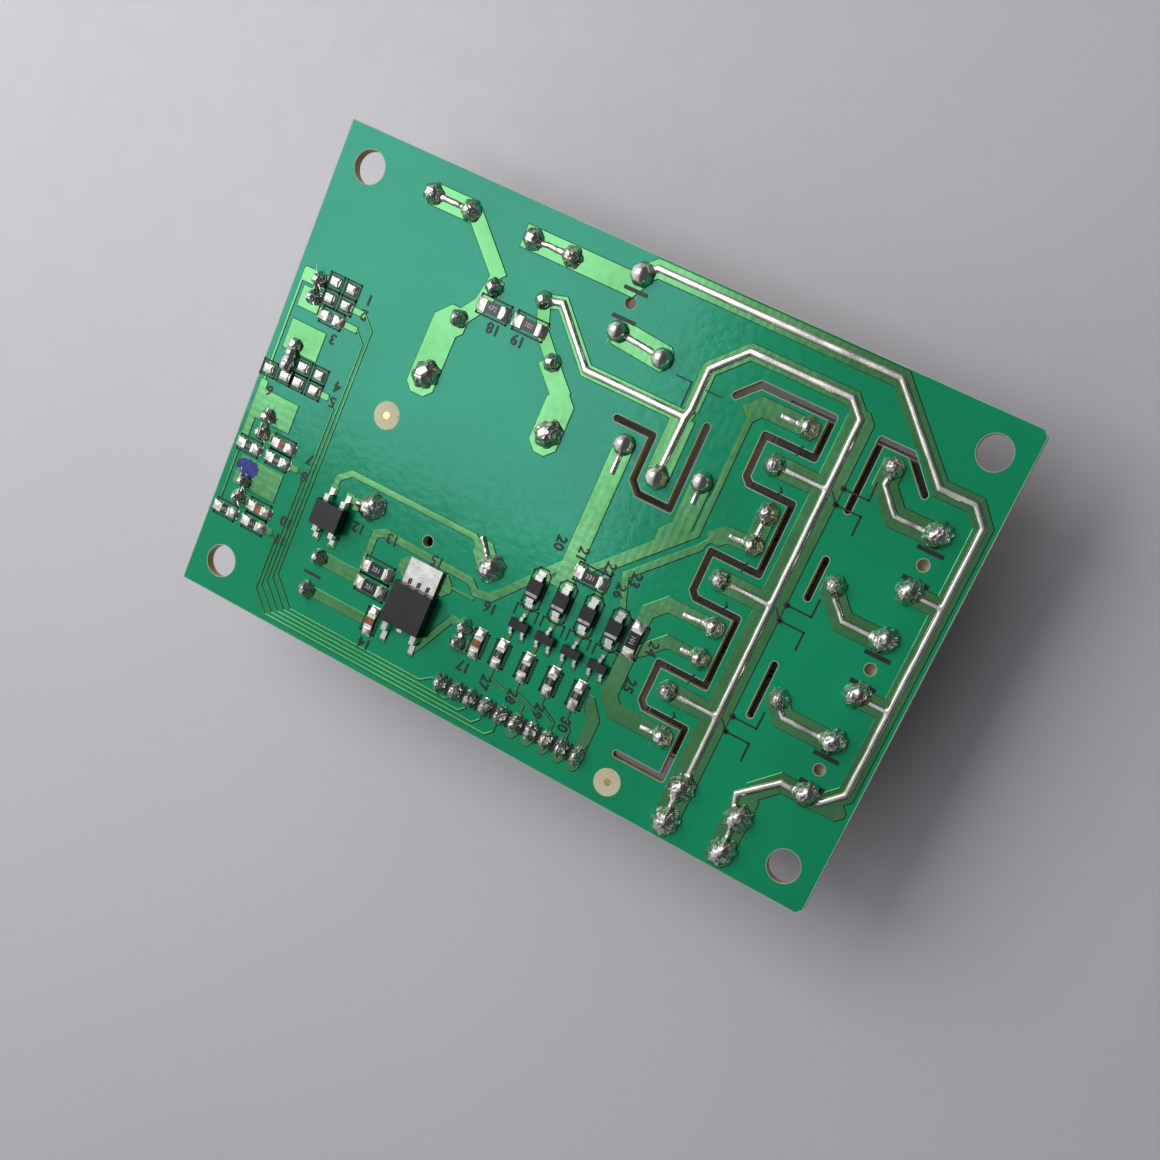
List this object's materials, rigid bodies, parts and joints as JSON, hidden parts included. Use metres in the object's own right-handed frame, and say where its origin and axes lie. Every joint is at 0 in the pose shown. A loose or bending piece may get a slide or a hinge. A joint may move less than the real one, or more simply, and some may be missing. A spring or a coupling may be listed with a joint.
{
  "type": "heater control board",
  "caption": "Single-sided power board with slotted isolation, soldered mains runs, relays, transformer, fuse and plug headers, fixed by its corner holes.",
  "frame": {"origin": "Middle of the four mounting holes, on the solder face of the laminate.", "axes": "+X along the long edge towards the output connectors, +Y across towards the fuse edge, +Z out of the solder face."},
  "size_m": [0.105, 0.07, 0.0226],
  "materials": {
    "black_nylon": "black glass-filled nylon",
    "blue_epoxy": "dipped blue epoxy",
    "can_sleeve": "dark shrink sleeve over aluminium",
    "chip_capacitor": "sintered brown ceramic",
    "chip_resistor": "fired overglaze on alumina",
    "coil_tape": "yellow polyester tape",
    "core_iron": "varnished silicon-steel sheets",
    "fuse_glass": "clear glass",
    "masked_copper": "copper under green solder mask",
    "moulded_epoxy": "black moulding compound",
    "natural_nylon": "natural nylon",
    "relay_case": "moulded black polyester",
    "solder": "solidified tin solder",
    "solder_mask": "green solder mask over glass-filled laminate",
    "tin": "tinned metal",
    "tinned_brass": "tin-plated brass",
    "tinned_steel": "tinned wire and strip",
    "yellow_case": "yellow moulded case"
  },
  "bodies": {
    "root": {"board": "solder_mask", "bridge_rectifier": "moulded_epoxy", "bridge_rectifier_leads": "tinned_steel", "chip_capacitor_bodies": "chip_capacitor", "chip_capacitor_caps": "tin", "chip_resistor_bodies": "chip_resistor", "chip_resistor_caps": "tin", "coil_solder": "solder", "copper_tracks": "masked_copper", "diode_1": "moulded_epoxy", "diode_2": "moulded_epoxy", "diode_3": "moulded_epoxy", "diode_4": "moulded_epoxy", "diode_leads": "tinned_steel", "fiducial_dots": "tin", "film_capacitor": "yellow_case", "fuse_caps": "tinned_brass", "fuse_clips": "tinned_brass", "fuse_solder": "solder", "fuse_tube": "fuse_glass", "header_housing": "black_nylon", "header_pins": "tinned_steel", "header_solder": "solder", "large_capacitor": "can_sleeve", "lead_solder": "solder", "line_solder": "solder", "line_tab": "tinned_brass", "neutral_solder": "solder", "neutral_tab": "tinned_brass", "output_connector_1": "natural_nylon", "output_connector_2": "natural_nylon", "output_connector_3": "natural_nylon", "output_pins": "tinned_steel", "output_solder": "solder", "pad_solder": "solder", "radial_leads": "tinned_steel", "regulator_body": "moulded_epoxy", "regulator_tab_and_leads": "tinned_steel", "relay_1": "relay_case", "relay_2": "relay_case", "relay_3": "relay_case", "relay_pins": "tinned_steel", "sensor_connector_1": "natural_nylon", "sensor_connector_2": "natural_nylon", "sensor_connector_3": "natural_nylon", "sensor_pins": "tinned_steel", "sensor_solder": "solder", "small_capacitor": "can_sleeve", "transformer_bobbin": "black_nylon", "transformer_core": "core_iron", "transformer_pins": "tinned_steel", "transformer_solder": "solder", "transformer_winding": "coil_tape", "transistor_1": "moulded_epoxy", "transistor_2": "moulded_epoxy", "transistor_3": "moulded_epoxy", "transistor_4": "moulded_epoxy", "transistor_leads": "tinned_steel", "varistor": "blue_epoxy"}
  },
  "joints": []
}
